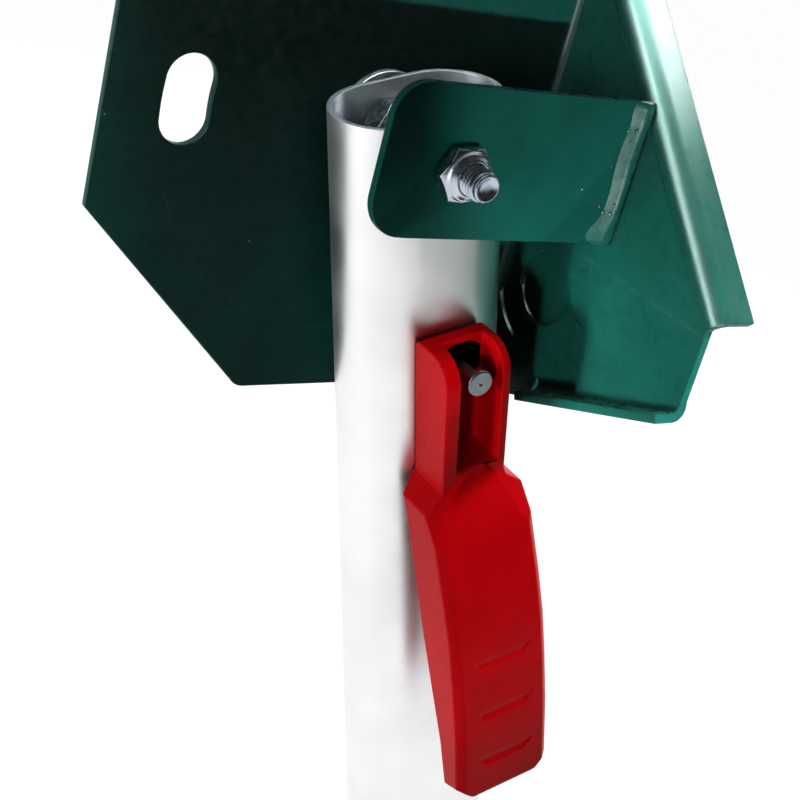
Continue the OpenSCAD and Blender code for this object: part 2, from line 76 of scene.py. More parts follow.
# Where the bracket and the leaning leg sit in the part's own axes
setOut = {
    "pivot": (10.0, -21.3, -54.0),  # mm
    "legLean": 16.45,  # degrees
    "latchBelowPivot": 53.2,  # mm
}
pivotPlace = Matrix.Translation(Vector(setOut["pivot"]) * mm)
legPlace = pivotPlace @ Matrix.Rotation(-math.radians(setOut["legLean"]), 4, "Y")
turnedPlace = legPlace @ Matrix.Rotation(math.radians(90), 4, "X")  # local Z comes out of the lug


# Workshop helpers

def deselectAll():
    if bpy.context.object and bpy.context.mode != "OBJECT":
        bpy.ops.object.mode_set(mode="OBJECT")
    bpy.ops.object.select_all(action="DESELECT")


def pick(piece):
    deselectAll()
    piece.select_set(True)
    bpy.context.view_layer.objects.active = piece


def startEdit(piece, what="VERT"):
    pick(piece)
    bpy.ops.object.mode_set(mode="EDIT")
    bpy.ops.mesh.select_mode(type=what)
    bpy.ops.mesh.select_all(action="DESELECT")


def endEdit():
    bpy.ops.object.mode_set(mode="OBJECT")


def selectFaces(piece, test):
    mesh = bmesh.from_edit_mesh(piece.data)
    for face in mesh.faces:
        if test(face):
            face.select_set(True)
    bmesh.update_edit_mesh(piece.data)


def applyModifiers(piece):
    pick(piece)
    for modifier in list(piece.modifiers):
        bpy.ops.object.modifier_apply(modifier=modifier.name)


def settle(piece, place=None):
    pick(piece)
    bpy.ops.object.transform_apply(location=True, rotation=True, scale=True)
    if place is not None:
        piece.data.transform(place)
        piece.data.update()


def paint(piece, *materials):
    piece.data.materials.clear()
    for material in materials:
        piece.data.materials.append(material)


def smooth(piece, angle=35, even=True):  # angle in degrees, even lets large faces steer the shading
    pick(piece)
    bpy.ops.object.shade_smooth_by_angle(angle=math.radians(angle))
    if even:
        modifier = piece.modifiers.new("evenNormals", "WEIGHTED_NORMAL")
        modifier.keep_sharp = True
        applyModifiers(piece)


def drawLine(name, points):  # a polyline grown point by point, as (x, y, z) in mm
    deselectAll()
    bpy.ops.mesh.primitive_plane_add(size=mm, location=(0, 0, 0))
    piece = bpy.context.object
    piece.name = name
    startEdit(piece)
    bpy.ops.mesh.select_all(action="SELECT")
    bpy.ops.mesh.merge(type="CENTER")
    bpy.ops.transform.translate(value=Vector(points[0]) * mm)
    for start, end in zip(points, points[1:]):
        step = (Vector(end) - Vector(start)) * mm
        bpy.ops.mesh.extrude_region_move(TRANSFORM_OT_translate={"value": step})
    endEdit()
    return piece


def joinPieces(name, *pieces):
    deselectAll()
    for piece in pieces:
        piece.select_set(True)
    bpy.context.view_layer.objects.active = pieces[0]
    bpy.ops.object.join()
    pieces[0].name = name
    return pieces[0]


def copyNode(node, name):  # a node's loose triangles, merged into whole faces
    piece = bpy.data.objects.new(name, frame["nodes"][node].data.copy())
    bpy.context.scene.collection.objects.link(piece)
    startEdit(piece)
    bpy.ops.mesh.select_all(action="SELECT")
    bpy.ops.mesh.customdata_custom_splitnormals_clear()
    bpy.ops.mesh.remove_doubles(threshold=2 * near)
    bpy.ops.mesh.dissolve_limited(angle_limit=math.radians(0.5), use_dissolve_boundaries=False)
    endEdit()
    return piece


def roundEdges(piece, width, steps=2, sharper=30, edgeSlot=-1):  # width in mm, sharper in degrees
    modifier = piece.modifiers.new("softEdges", "BEVEL")
    modifier.width = width * mm
    modifier.segments = steps
    modifier.limit_method = "ANGLE"
    modifier.angle_limit = math.radians(sharper)
    modifier.use_clamp_overlap = False
    modifier.material = edgeSlot
    applyModifiers(piece)


def revolve(piece, steps, rise=0.0, turns=1, merge=True):  # about Z, rising so many mm on each turn
    screw = piece.modifiers.new("turned", "SCREW")
    screw.screw_offset = rise * mm
    screw.iterations = turns
    screw.steps = screw.render_steps = steps
    screw.use_merge_vertices = merge
    screw.merge_threshold = near
    applyModifiers(piece)


def fit(piece, body, slot, *nodes):
    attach(piece, body)
    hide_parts(*nodes)
    print("fitted", piece.name, len(piece.data.polygons), "faces")


# Finishes, each from nodes that read the piece's own coordinates

def newFinish(name, **sockets):
    material = bpy.data.materials.new(name)
    material.use_nodes = True
    shader = material.node_tree.nodes["Principled BSDF"]
    for socket, value in sockets.items():
        shader.inputs[socket.replace("_", " ")].default_value = value
    return material, material.node_tree, shader


def placeOn(tree, scale=(1, 1, 1), turn=(0, 0, 0), shift=(0, 0, 0)):
    where = tree.nodes.new("ShaderNodeTexCoord")
    mapping = tree.nodes.new("ShaderNodeMapping")
    mapping.inputs["Location"].default_value = shift
    mapping.inputs["Rotation"].default_value = turn
    mapping.inputs["Scale"].default_value = scale
    tree.links.new(where.outputs["Object"], mapping.inputs["Vector"])
    return mapping.outputs["Vector"]


def cloud(tree, vector, size, detail=2.0, rough=0.5):  # noise, size in mm
    node = tree.nodes.new("ShaderNodeTexNoise")
    node.inputs["Scale"].default_value = 1 / (size * mm)
    node.inputs["Detail"].default_value = detail
    node.inputs["Roughness"].default_value = rough
    tree.links.new(vector, node.inputs["Vector"])
    return node.outputs["Fac"]


def spots(tree, vector, size):  # cells of one size, as (distance, random colour)
    node = tree.nodes.new("ShaderNodeTexVoronoi")
    node.inputs["Scale"].default_value = 1 / (size * mm)
    tree.links.new(vector, node.inputs["Vector"])
    return node.outputs["Distance"], node.outputs["Color"]


def sums(tree, operation, first, second=None):
    node = tree.nodes.new("ShaderNodeMath")
    node.operation = operation
    for index, value in enumerate((first, second)):
        if value is None:
            continue
        if isinstance(value, (int, float)):
            node.inputs[index].default_value = value
        else:
            tree.links.new(value, node.inputs[index])
    return node.outputs[0]


def remap(tree, value, low, high, newLow=0.0, newHigh=1.0):
    node = tree.nodes.new("ShaderNodeMapRange")
    for socket, number in zip(("From Min", "From Max", "To Min", "To Max"), (low, high, newLow, newHigh)):
        node.inputs[socket].default_value = number
    tree.links.new(value, node.inputs["Value"])
    return node.outputs["Result"]


def blendColour(tree, share, first, second):
    node = tree.nodes.new("ShaderNodeMix")
    node.data_type = "RGBA"
    tree.links.new(share, node.inputs["Factor"])
    for socket, value in ((node.inputs["A"], first), (node.inputs["B"], second)):
        if isinstance(value, tuple):
            socket.default_value = (*value, 1.0)
        else:
            tree.links.new(value, socket)
    return node.outputs["Result"]


def relief(tree, height, strength, depth, under=None):  # bump, depth in mm
    node = tree.nodes.new("ShaderNodeBump")
    node.inputs["Strength"].default_value = strength
    node.inputs["Distance"].default_value = depth * mm
    tree.links.new(height, node.inputs["Height"])
    if under is not None:
        tree.links.new(under, node.inputs["Normal"])
    return node.outputs["Normal"]


toneSpan = (0.35, 0.65)  # noise between these runs from one colour to the other
roughSpan = (0.3, 0.7)  # noise between these runs from one roughness to the other

powderCoat = {
    "green": (0.0085, 0.112, 0.088),
    "shade": (0.0065, 0.096, 0.075),
    "edge": (0.030, 0.160, 0.135),  # thin paint on the cut edges, made lighter in part as a painted highlight along them; the rubbed arc takes this colour too
    # lighter green of the weld beads, a painted highlight on them
    "bead": (0.012, 0.150, 0.120),
    # pale specks: chipped paint, and partly painted glints
    "chipAndGlint": (0.30, 0.46, 0.43),
    "shine": 0.05,
    "beadShine": 0.5,  # the weld beads shine more
    "roughness": (0.25, 0.33),
    "roughPatch": 3,  # mm
    "tonePatch": 14,  # mm
    "peel": 1.1,  # mm between the bumps of the orange peel
    "wave": 6,  # mm between its broader waves
    "chipAndGlintCell": 9.0,  # mm, one possible pale speck in each cell
    "chipAndGlintRadius": 0.035,  # share of a cell
    "chipAndGlintFrom": 0.8,  # cells whose random number lies above this have a speck
    "rubRadius": 59.5,  # mm, arc that the leg's disc has rubbed on the plate
    "rubWidth": 0.35,  # mm
    "rubTop": 12,  # mm above the pivot, where the arc ends
    "rubPatch": 5,  # mm between the gaps in the arc
    "rubShow": 0.5,
}


def rubbedArc(tree, here):  # share of rubbed paint, on a broken arc round the pivot
    axes = tree.nodes.new("ShaderNodeSeparateXYZ")
    about = placeOn(tree, shift=(-setOut["pivot"][0] * mm, 0, -setOut["pivot"][2] * mm))
    tree.links.new(about, axes.inputs["Vector"])
    across = sums(tree, "POWER", axes.outputs["X"], 2)
    up = sums(tree, "POWER", axes.outputs["Z"], 2)
    radius = sums(tree, "SQRT", sums(tree, "ADD", across, up))
    off = sums(tree, "ABSOLUTE", sums(tree, "SUBTRACT", radius, powderCoat["rubRadius"] * mm))
    line = remap(tree, off, powderCoat["rubWidth"] * mm, 0.0, 0.0, powderCoat["rubShow"])
    below = sums(tree, "LESS_THAN", axes.outputs["Z"], powderCoat["rubTop"] * mm)
    broken = remap(tree, cloud(tree, here, powderCoat["rubPatch"], 2), 0.35, 0.6)
    return sums(tree, "MULTIPLY", sums(tree, "MULTIPLY", line, below), broken)


def makePowderCoat(name, base, shade, rubbed=False, shine=powderCoat["shine"]):
    material, tree, shader = newFinish(
        name, Roughness=0.3, Specular_IOR_Level=shine, Metallic=0.0)
    here = placeOn(tree)
    tone = remap(tree, cloud(tree, here, powderCoat["tonePatch"], 3), *toneSpan)
    colour = blendColour(tree, tone, base, shade)
    # Pale specks scattered over the paint: chips, and partly painted glints
    distance, dice = spots(tree, here, powderCoat["chipAndGlintCell"])
    split = tree.nodes.new("ShaderNodeSeparateColor")
    tree.links.new(dice, split.inputs["Color"])
    small = sums(tree, "LESS_THAN", distance, powderCoat["chipAndGlintRadius"])
    few = sums(tree, "GREATER_THAN", split.outputs["Red"], powderCoat["chipAndGlintFrom"])
    chipAndGlint = sums(tree, "MULTIPLY", small, few)
    if rubbed:
        colour = blendColour(tree, rubbedArc(tree, here), colour, powderCoat["edge"])
    colour = blendColour(tree, chipAndGlint, colour, powderCoat["chipAndGlint"])
    tree.links.new(colour, shader.inputs["Base Color"])
    patches = cloud(tree, here, powderCoat["roughPatch"], 2)
    rough = remap(tree, patches, *roughSpan, *powderCoat["roughness"])
    tree.links.new(rough, shader.inputs["Roughness"])
    peel = relief(tree, cloud(tree, here, powderCoat["peel"], 1), 0.25, 0.05)
    broad = relief(tree, cloud(tree, here, powderCoat["wave"], 1), 0.2, 0.08, peel)
    tree.links.new(broad, shader.inputs["Normal"])
    return material


greenCoat = makePowderCoat("greenCoat", powderCoat["green"], powderCoat["shade"])
greenPlateCoat = makePowderCoat(
    "greenPlateCoat", powderCoat["green"], powderCoat["shade"], rubbed=True)
# The weld beads' coat is lighter green as a painted highlight, and also shines more
greenBeadHighlightCoat = makePowderCoat(
    "greenBeadHighlightCoat", powderCoat["bead"], powderCoat["green"], shine=powderCoat["beadShine"])
# Lighter coat for the rounded edges: thin paint there, and partly a painted highlight along them
greenEdgeThinPaintAndHighlight = makePowderCoat("greenEdgeThinPaintAndHighlight", powderCoat["edge"], powderCoat["green"])


aluminium = {
    "colour": (0.92, 0.92, 0.93),
    "dull": (0.87, 0.87, 0.88),
    # darker colour of the sawn ends, a painted dark reflection
    "cut": (0.42, 0.45, 0.50),
    "roughness": (0.30, 0.42),
    "cutRoughness": (0.4, 0.5),
    "stretch": (1, 1, 0.012),  # draws the noise out into lines along the leg
    "line": 0.35,  # mm
    "patch": 22,  # mm
}


def makeAluminium(name, colour, roughness, dull=None):  # one colour all over where dull isn't given
    material, tree, shader = newFinish(
        name, Base_Color=(*colour, 1.0), Metallic=1.0, Roughness=roughness[0])
    lean = math.radians(setOut["legLean"])
    drawn = placeOn(tree, scale=aluminium["stretch"], turn=(0, lean, 0))
    here = placeOn(tree)
    lines = cloud(tree, drawn, aluminium["line"], 3, 0.6)
    patches = cloud(tree, here, aluminium["patch"], 2)
    if dull is not None:
        tone = remap(tree, patches, 0.4, 0.7)
        tree.links.new(blendColour(tree, tone, colour, dull), shader.inputs["Base Color"])
    rough = sums(tree, "ADD", remap(tree, lines, *roughSpan, 0.0, 0.06),
                 remap(tree, patches, *roughSpan, *roughness))
    tree.links.new(rough, shader.inputs["Roughness"])
    tree.links.new(relief(tree, lines, 0.12, 0.02), shader.inputs["Normal"])
    return material


satinAluminium = makeAluminium(
    "satinAluminium", aluminium["colour"], aluminium["roughness"], aluminium["dull"])
# The sawn ends are painted darker, standing in for the dark surroundings they reflect
cutAluminium = makeAluminium("cutAluminium", aluminium["cut"], aluminium["cutRoughness"])


zinc = {
    "colour": (0.60, 0.64, 0.69),
    "blue": (0.44, 0.52, 0.62),
    "dull": (0.34, 0.36, 0.38),
    "head": (0.22, 0.24, 0.25),  # darker plating of the pin
    "headBlue": (0.17, 0.20, 0.22),
    "tonePatch": 4,  # mm
    "roughPatch": 1.5,  # mm
    "smoother": 0.06,  # how far the patches go under and over a finish's roughness
    "rougher": 0.1,
    "dent": 0.5,  # mm
}


def makeZinc(name, first, second, rough):
    material, tree, shader = newFinish(name, Metallic=1.0, Roughness=rough)
    here = placeOn(tree)
    tone = remap(tree, cloud(tree, here, zinc["tonePatch"], 3), *toneSpan)
    tree.links.new(blendColour(tree, tone, first, second), shader.inputs["Base Color"])
    patches = cloud(tree, here, zinc["roughPatch"], 3)
    low, high = rough - zinc["smoother"], rough + zinc["rougher"]
    tree.links.new(remap(tree, patches, *roughSpan, low, high), shader.inputs["Roughness"])
    dents = relief(tree, cloud(tree, here, zinc["dent"], 2), 0.12, 0.03)
    tree.links.new(dents, shader.inputs["Normal"])
    return material


brightZinc = makeZinc("brightZinc", zinc["colour"], zinc["blue"], 0.24)
dullZinc = makeZinc("dullZinc", zinc["colour"], zinc["dull"], 0.34)
headZinc = makeZinc("headZinc", zinc["head"], zinc["headBlue"], 0.32)


redPlastic = {
    "red": (0.47, 0.0013, 0.0035),
    "deep": (0.42, 0.0009, 0.0028),
    "shine": 0.07,
    "roughness": (0.33, 0.42),
    "roughPatch": 2,  # mm
    "tonePatch": 11,  # mm
    "grain": 0.33,  # mm, moulded matte texture
}


def makeRedPlastic(name):
    material, tree, shader = newFinish(
        name, Roughness=0.36, Specular_IOR_Level=redPlastic["shine"], Metallic=0.0)
    here = placeOn(tree)
    tone = remap(tree, cloud(tree, here, redPlastic["tonePatch"], 2), *toneSpan)
    colour = blendColour(tree, tone, redPlastic["red"], redPlastic["deep"])
    tree.links.new(colour, shader.inputs["Base Color"])
    patches = cloud(tree, here, redPlastic["roughPatch"], 2)
    rough = remap(tree, patches, *roughSpan, *redPlastic["roughness"])
    tree.links.new(rough, shader.inputs["Roughness"])
    grain = relief(tree, cloud(tree, here, redPlastic["grain"], 2, 0.6), 0.35, 0.06)
    tree.links.new(grain, shader.inputs["Normal"])
    return material


redMoulded = makeRedPlastic("redMoulded")


nylon = {
    "natural": (0.78, 0.76, 0.69),
    "naturalShade": (0.68, 0.66, 0.58),
    "dark": (0.018, 0.022, 0.026),
    "darkShade": (0.030, 0.034, 0.040),
    "tonePatch": 5,  # mm
    "grain": 0.6,  # mm
}


def makeNylon(name, colour, shade, rough):
    material, tree, shader = newFinish(name, Roughness=rough, Specular_IOR_Level=0.4)
    here = placeOn(tree)
    tone = remap(tree, cloud(tree, here, nylon["tonePatch"], 2), *toneSpan)
    tree.links.new(blendColour(tree, tone, colour, shade), shader.inputs["Base Color"])
    grain = relief(tree, cloud(tree, here, nylon["grain"], 2), 0.15, 0.04)
    tree.links.new(grain, shader.inputs["Normal"])
    return material


naturalNylon = makeNylon("naturalNylon", nylon["natural"], nylon["naturalShade"], 0.45)
darkNylon = makeNylon("darkNylon", nylon["dark"], nylon["darkShade"], 0.5)
print("finishes made")


# Bracket: folded plate with the side wall, and the lug welded to the wall

bracket = {  # mm, roundness of painted edges
    "edge": 0.45,
    "lugEdge": 0.5,
}
plate = copyNode("bracket_plate", "bracketPlate")
# the rounded edges take the lighter edge coat, partly a painted highlight
roundEdges(plate, bracket["edge"], edgeSlot=1)
paint(plate, greenPlateCoat, greenEdgeThinPaintAndHighlight)
smooth(plate, 40)
fit(plate, "bracket", "green_powder_coat", "bracket_plate")

lug = copyNode("pivot_lug", "pivotLug")
# the rounded edges take the lighter edge coat, partly a painted highlight
roundEdges(lug, bracket["lugEdge"], edgeSlot=1)
paint(lug, greenCoat, greenEdgeThinPaintAndHighlight)
smooth(lug, 40)
fit(lug, "bracket", "green_powder_coat", "pivot_lug")


# Weld beads between the lug's end and the wall, with the pimples of spatter beside them

weldFront = {  # mm from the pivot
    "wall": 54.2,  # inner face of the side wall
    "face": -19.7,  # the lug's face that the bead lies on
    "low": -17.6,
    "high": 20.6,
    "width": 6.3,
    "crown": 1.35,
    "root": 1.2,  # depth into the joint
    "ripple": 0.05,
    "pool": 0.42,  # share by which the bead is wider where it began
    "pitch": 1.3,  # from one ripple to the next
    "spatter": [  # x, z and radius of each pimple
        (38.9, -2.9, 0.42), (38.6, 0.0, 0.3), (46.4, -7.2, 0.4), (48.6, 2.1, 0.36), (48.2, 0.7, 0.4),
        (48.1, 12.9, 0.34), (49.2, 10.1, 0.3), (50.3, -6.5, 0.45), (48.1, -8.8, 0.6), (49.9, -8.9, 0.55),
        (50.0, 13.3, 0.5), (46.2, 3.6, 0.22),
    ],
}
weldRear = {
    "wall": 54.2,
    "face": -17.2,
    "low": -16.4,
    "high": 19.5,
    "width": 5.4,
    "crown": -1.1,  # this bead rises the other way
    "root": -1.2,
    "ripple": 0.06,
    "pool": 0.2,
    "pitch": 1.5,
    "spatter": [],
}


beadShape = {  # shares of a bead's width, length and crown, where nothing else is said
    "grid": (16, 90),  # steps across and along
    "crest": 0.58,  # the lug's side slopes evenly up to here, the wall's side falls steeply
    "slope": (1.06, 0.06),  # rise and bend of a side, up to its shoulder
    "shoulder": 0.8,
    "round": (0.87, 0.13, 7.85),  # start, rise and radians of the rounded crest
    "toe": 0.88,  # from here to the wall the bead climbs again
    "toeLift": 0.16,
    "endRound": 1.6,  # mm
    "endWaist": 0.25,  # how much narrower the bead is at its very ends
    "rippleLag": 1.6,  # radians, from the lug to the wall
    "fill": (0.9, 0.3),  # plain part and uneven part of the height
    "melt": (0.16, 9.0, 0.6, 23.0),  # height, radians, start and second radians of the uneven part
    "wander": (0.07, 11.0, 1.0),  # width, radians and start of the edges' wave
    "pool": (0.075, 0.085),  # place and length of the wide beginning
    "crater": (0.93, 0.07),  # the same of the crater where it stops
    "craterWide": 0.25,  # beside the beginning's width
    "pimpleSteps": (14, 8),  # round and up
    "pimpleStretch": (1.0, 0.7, 1.25),
    "pimpleRough": 0.1,  # share of a pimple's radius
    "pimpleOnBead": 5.6,  # mm from the wall, a pimple nearer than this sits on the bead
    "pimpleLift": 0.9,  # mm
}


def swelling(along, place, long):
    return math.exp(-((along - place) / long) ** 2)


def beadHeight(weld, across, along, taper):  # mm
    crest, shoulder = beadShape["crest"], beadShape["shoulder"]
    side = across / crest if across < crest else (1 - across) / (1 - crest)
    if side < shoulder:
        rise, bend = beadShape["slope"]
        dome = rise * side / (side * side * bend + 1)
    else:
        low, rise, turn = beadShape["round"]
        dome = low + rise * math.sin((side - shoulder) * turn)
    wallToe = beadShape["toeLift"] * max(0.0, (across - beadShape["toe"]) / (1 - beadShape["toe"]))
    ripples = along * (weld["high"] - weld["low"]) / weld["pitch"]
    ripple = weld["ripple"] * math.sin(ripples * math.tau + beadShape["rippleLag"] * across)
    high, slow, start, quick = beadShape["melt"]
    melt = high * math.sin(along * slow + start) * math.sin(along * quick)
    plain, uneven = beadShape["fill"]
    return (weld["crown"] * (dome * (plain + melt * uneven) + wallToe) + ripple * dome) * taper


def beadWaist(weld, along, taper):  # share of the bead's plain width
    wide, turn, start = beadShape["wander"]
    waist = 1 + wide * math.sin(along * turn + start) - beadShape["endWaist"] * (1 - taper)
    crater = beadShape["craterWide"] * swelling(along, *beadShape["crater"])
    return waist + weld["pool"] * (swelling(along, *beadShape["pool"]) + crater)


def layWeld(name, weld):
    length = weld["high"] - weld["low"]
    middle = (weld["wall"] - weld["width"] / 2, weld["face"], (weld["high"] + weld["low"]) / 2)
    deselectAll()
    bpy.ops.mesh.primitive_grid_add(
        x_subdivisions=beadShape["grid"][0], y_subdivisions=beadShape["grid"][1], size=1,
        location=(0, 0, 0), rotation=(math.radians(90), 0, 0))
    bead = bpy.context.object
    bead.name = name
    bead.scale = (weld["width"] * mm, length * mm, 1)
    settle(bead)
    for vertex in bead.data.vertices:
        across = vertex.co.x / (weld["width"] * mm) + 0.5  # 0 at the lug, 1 at the wall
        along = vertex.co.z / (length * mm) + 0.5
        end = min(1.0, min(along, 1 - along) * length / beadShape["endRound"])
        taper = math.sqrt(max(0.0, 1 - (1 - end) ** 2))
        vertex.co.y -= beadHeight(weld, across, along, taper) * mm
        fromWall = (across - 1) * weld["width"] * mm * beadWaist(weld, along, taper)
        vertex.co.x = fromWall + weld["width"] / 2 * mm
    startEdit(bead, "FACE")
    bpy.ops.mesh.select_all(action="SELECT")
    bpy.ops.mesh.extrude_region_move(TRANSFORM_OT_translate={"value": (0, weld["root"] * mm, 0)})
    bpy.ops.mesh.select_all(action="SELECT")
    bpy.ops.mesh.normals_make_consistent(inside=False)
    endEdit()
    bead.data.transform(Matrix.Translation(Vector(middle) * mm))
    drops = [bead]
    for x, z, radius in weld["spatter"]:
        lift = beadShape["pimpleLift"] if x > weld["wall"] - beadShape["pimpleOnBead"] else 0.0
        deselectAll()
        bpy.ops.mesh.primitive_uv_sphere_add(
            segments=beadShape["pimpleSteps"][0], ring_count=beadShape["pimpleSteps"][1],
            radius=radius * mm, location=(x * mm, (weld["face"] - lift) * mm, z * mm))
        drop = bpy.context.object
        drop.scale = beadShape["pimpleStretch"]
        startEdit(drop)
        bpy.ops.mesh.select_all(action="SELECT")
        bpy.ops.transform.vertex_random(offset=radius * beadShape["pimpleRough"] * mm, seed=len(drops))
        endEdit()
        settle(drop)
        drops.append(drop)
    bead = joinPieces(name, *drops)
    settle(bead, pivotPlace)
    return bead


beads = []
for name, weld, node in (
        ("weldFront", weldFront, "lug_weld_front"), ("weldRear", weldRear, "lug_weld_rear")):
    bead = layWeld(name, weld)
    paint(bead, greenBeadHighlightCoat)
    smooth(bead, 50, even=False)
    fit(bead, "bracket", "green_powder_coat", node)
    beads.append(bead)
print("bracket done")


# Leg tube: drawn aluminium with sawn ends

tubeEdge = {
    "width": 0.22,  # mm
    "sharper": 35,  # degrees
    "sawn": 0.9,  # faces that look along the leg at least this much are sawn
}
tube = copyNode("leg_tube", "legTube")
roundEdges(tube, tubeEdge["width"], sharper=tubeEdge["sharper"])
startEdit(tube, "FACE")
legUp = legPlace.to_3x3() @ Vector((0, 0, 1))
selectFaces(tube, lambda face: abs(face.normal.dot(legUp)) > tubeEdge["sawn"])
endEdit()
# the sawn end faces take the darker colour, a painted dark reflection
paint(tube, satinAluminium, cutAluminium)
for face in tube.data.polygons:
    face.material_index = 1 if face.select else 0
smooth(tube, 35)
fit(tube, "leg", "satin_aluminium", "leg_tube")


# Pivot bolt: head and shank, with a rolled thread to the inner nut and out through the lock nut

thread = {  # mm, heights in front of the leg's middle
    "pitch": 1.25,
    "root": 3.36,  # radius
    "crest": 3.94,
    "tip": 31.3,
    "lastTurn": 30.2,
    "foot": -13.8,
    "spare": 2.0,  # more thread at each end, which is cut off again
    "tipTaper": 0.8,  # mm of radius for each mm under the last turn
    "tipRing": [  # radius and depth under the tip, from the bottom of the cup out to the last turn
        (0.001, 0.85), (1.5, 0.85), (2.0, 0.70), (2.75, 0.06), (2.95, 0.0), (3.15, 0.02), (3.38, 0.22),
        (3.44, 0.5), (3.44, 1.2), (3.2, 1.5), (0.001, 1.5),
    ],
    "turnSteps": 40,
    "tipSteps": 48,
    "headEdge": 0.15,
}


def cutThread():
    pitch, start = thread["pitch"], thread["foot"] - thread["spare"]
    flank = [  # radius and share of the pitch
        (thread["root"], 0), (thread["root"], 0.1), (thread["crest"], 0.44), (thread["crest"], 0.56),
        (thread["root"], 0.9), (thread["root"], 1.0),
    ]
    turns = int((thread["tip"] - thread["foot"] + 2 * thread["spare"]) / pitch) + 2
    rod = drawLine("boltThread", [(radius, 0, start + pitch * part) for radius, part in flank])
    revolve(rod, thread["turnSteps"], pitch, turns)
    startEdit(rod)
    bpy.ops.mesh.select_all(action="SELECT")
    bpy.ops.mesh.remove_doubles(threshold=2 * near)
    endEdit()
    for height, side in ((thread["lastTurn"], 1), (thread["foot"], -1)):
        startEdit(rod)
        bpy.ops.mesh.select_all(action="SELECT")
        bpy.ops.mesh.bisect(
            plane_co=(0, 0, height * mm), plane_no=(0, 0, side), use_fill=True, clear_outer=True)
        endEdit()
    for vertex in rod.data.vertices:
        reach = thread["root"] + (thread["lastTurn"] - vertex.co.z / mm) * thread["tipTaper"]
        radius = math.hypot(vertex.co.x, vertex.co.y) / mm
        if radius > reach:
            vertex.co.x *= reach / radius
            vertex.co.y *= reach / radius
    ring = drawLine("boltTip", [(radius, 0, thread["tip"] - depth) for radius, depth in thread["tipRing"]])
    revolve(ring, thread["tipSteps"])
    rod = joinPieces("boltThread", rod, ring)
    startEdit(rod, "FACE")
    bpy.ops.mesh.select_all(action="SELECT")
    bpy.ops.mesh.remove_doubles(threshold=3 * near)
    bpy.ops.mesh.normals_make_consistent(inside=False)
    endEdit()
    settle(rod, turnedPlace)
    return rod


shank = copyNode("pivot_bolt", "boltShank")
startEdit(shank)
bpy.ops.mesh.select_all(action="SELECT")
bpy.ops.mesh.bisect(
    plane_co=(0, (setOut["pivot"][1] - thread["foot"]) * mm, 0), plane_no=(0, -1, 0),
    use_fill=True, clear_outer=True)
endEdit()
roundEdges(shank, thread["headEdge"], sharper=25)
bolt = joinPieces("pivotBolt", shank, cutThread())
paint(bolt, brightZinc)
smooth(bolt, 32, even=False)
fit(bolt, "leg", "zinc_plate", "pivot_bolt")


# Turned and pressed small parts: (node, name, body, slot, finish, roundness of the edges in mm)

smallParts = [
    ("lock_nut", "lockNut", "leg", "zinc_plate", brightZinc, 0.16),
    ("lock_nut_ring", "lockNutRing", "leg", "dark_nylon", darkNylon, 0.1),
    ("inner_nut", "innerNut", "leg", "zinc_plate", brightZinc, 0.16),
    ("head_washer", "headWasher", "leg", "zinc_plate", dullZinc, 0.2),
    ("thrust_disc", "thrustDisc", "leg", "zinc_plate", dullZinc, 0.4),
    ("plate_bush", "plateBush", "bracket", "natural_nylon", naturalNylon, 0.2),
    ("lug_bush", "lugBush", "bracket", "natural_nylon", naturalNylon, 0.2),
    ("plunger_guide", "plungerGuide", "leg", "natural_nylon", naturalNylon, 0.15),
    ("pin_guide", "pinGuide", "leg", "natural_nylon", naturalNylon, 0.15),
    ("plunger", "sprungPlunger", "plunger", "zinc_plate", brightZinc, 0.15),
    ("pull_pin", "pullPin", "plunger", "zinc_plate", headZinc, 0.16),
    ("cross_pin", "crossPin", "plunger", "zinc_plate", dullZinc, 0.12),
]
for node, name, body, slot, finish, roundness in smallParts:
    part = copyNode(node, name)
    roundEdges(part, roundness, sharper=25)
    paint(part, finish)
    smooth(part, 32)
    fit(part, body, slot, node)


# Return spring, coiled round the pin inside the tube

spring = {  # mm, heights in front of the leg's middle
    "wire": 1.2,
    "wireSides": 12,
    "radius": 5.0,
    "turns": 7,
    "turnSteps": 36,
    "from": -4.0,
    "to": 11.8,
}


def coilSpring():
    deselectAll()
    bpy.ops.mesh.primitive_circle_add(
        vertices=spring["wireSides"], radius=spring["wire"] / 2 * mm,
        location=(spring["radius"] * mm, 0, spring["from"] * mm), rotation=(math.radians(90), 0, 0))
    coil = bpy.context.object
    coil.name = "returnSpring"
    settle(coil)
    rise = (spring["to"] - spring["from"]) / spring["turns"]
    revolve(coil, spring["turnSteps"], rise, spring["turns"], merge=False)
    startEdit(coil)
    bpy.ops.mesh.select_all(action="SELECT")
    bpy.ops.mesh.remove_doubles(threshold=near)
    bpy.ops.mesh.fill_holes(sides=spring["wireSides"])
    bpy.ops.mesh.select_all(action="SELECT")
    bpy.ops.mesh.normals_make_consistent(inside=False)
    endEdit()
    below = Matrix.Translation((0, 0, -setOut["latchBelowPivot"] * mm))
    settle(coil, legPlace @ below @ Matrix.Rotation(math.radians(90), 4, "X"))
    return coil


coil = coilSpring()
paint(coil, dullZinc)
smooth(coil, 50, even=False)
fit(coil, "leg", "zinc_plate", "return_spring")
print("pivot and latch done")


# Release lever: one moulding, edges rounded as the mould leaves them

leverEdges = {
    "width": 0.55,  # mm
    "steps": 3,
    "sharper": 24,  # degrees
}
lever = copyNode("release_lever", "releaseLever")
roundEdges(lever, leverEdges["width"], leverEdges["steps"], leverEdges["sharper"])
paint(lever, redMoulded)
smooth(lever, 30)
fit(lever, "lever", "red_plastic", "release_lever")
print("lever done")


# Floor, lights, world and camera

